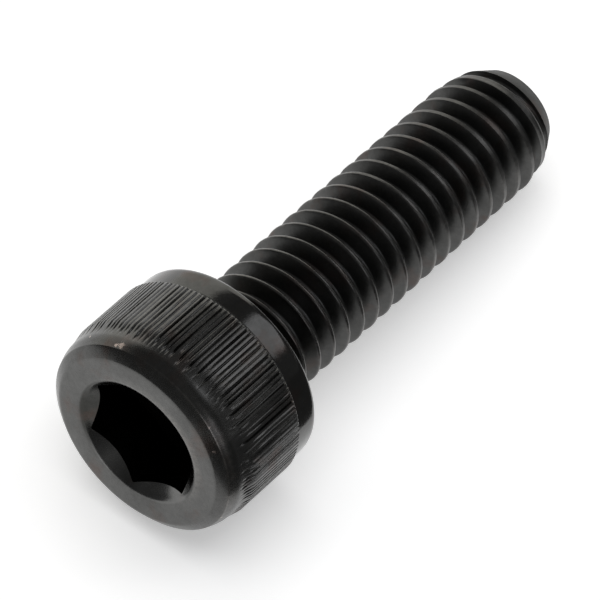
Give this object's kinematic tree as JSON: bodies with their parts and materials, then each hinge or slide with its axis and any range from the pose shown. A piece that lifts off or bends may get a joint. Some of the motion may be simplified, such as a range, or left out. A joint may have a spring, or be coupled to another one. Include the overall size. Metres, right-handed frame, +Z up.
{
  "type": "hex socket cap screw",
  "caption": "Fully threaded steel cap screw with a knurled cylindrical head and a hexagon socket, lying as it comes to rest.",
  "frame": {"origin": "centre of the flat bearing face under the head, on the screw's axis", "axes": "the screw lies on its head and the end of its thread: its axis runs from the head to the tip along +X, sloping 5.7 degrees down; +Z is up, and +Y is level and square to the axis"},
  "size_m": [0.0265, 0.01, 0.0102],
  "materials": {
    "black_oxide_steel": "black oxide, lightly oiled"
  },
  "bodies": {
    "root": {"cap_screw": "black_oxide_steel"}
  },
  "joints": []
}
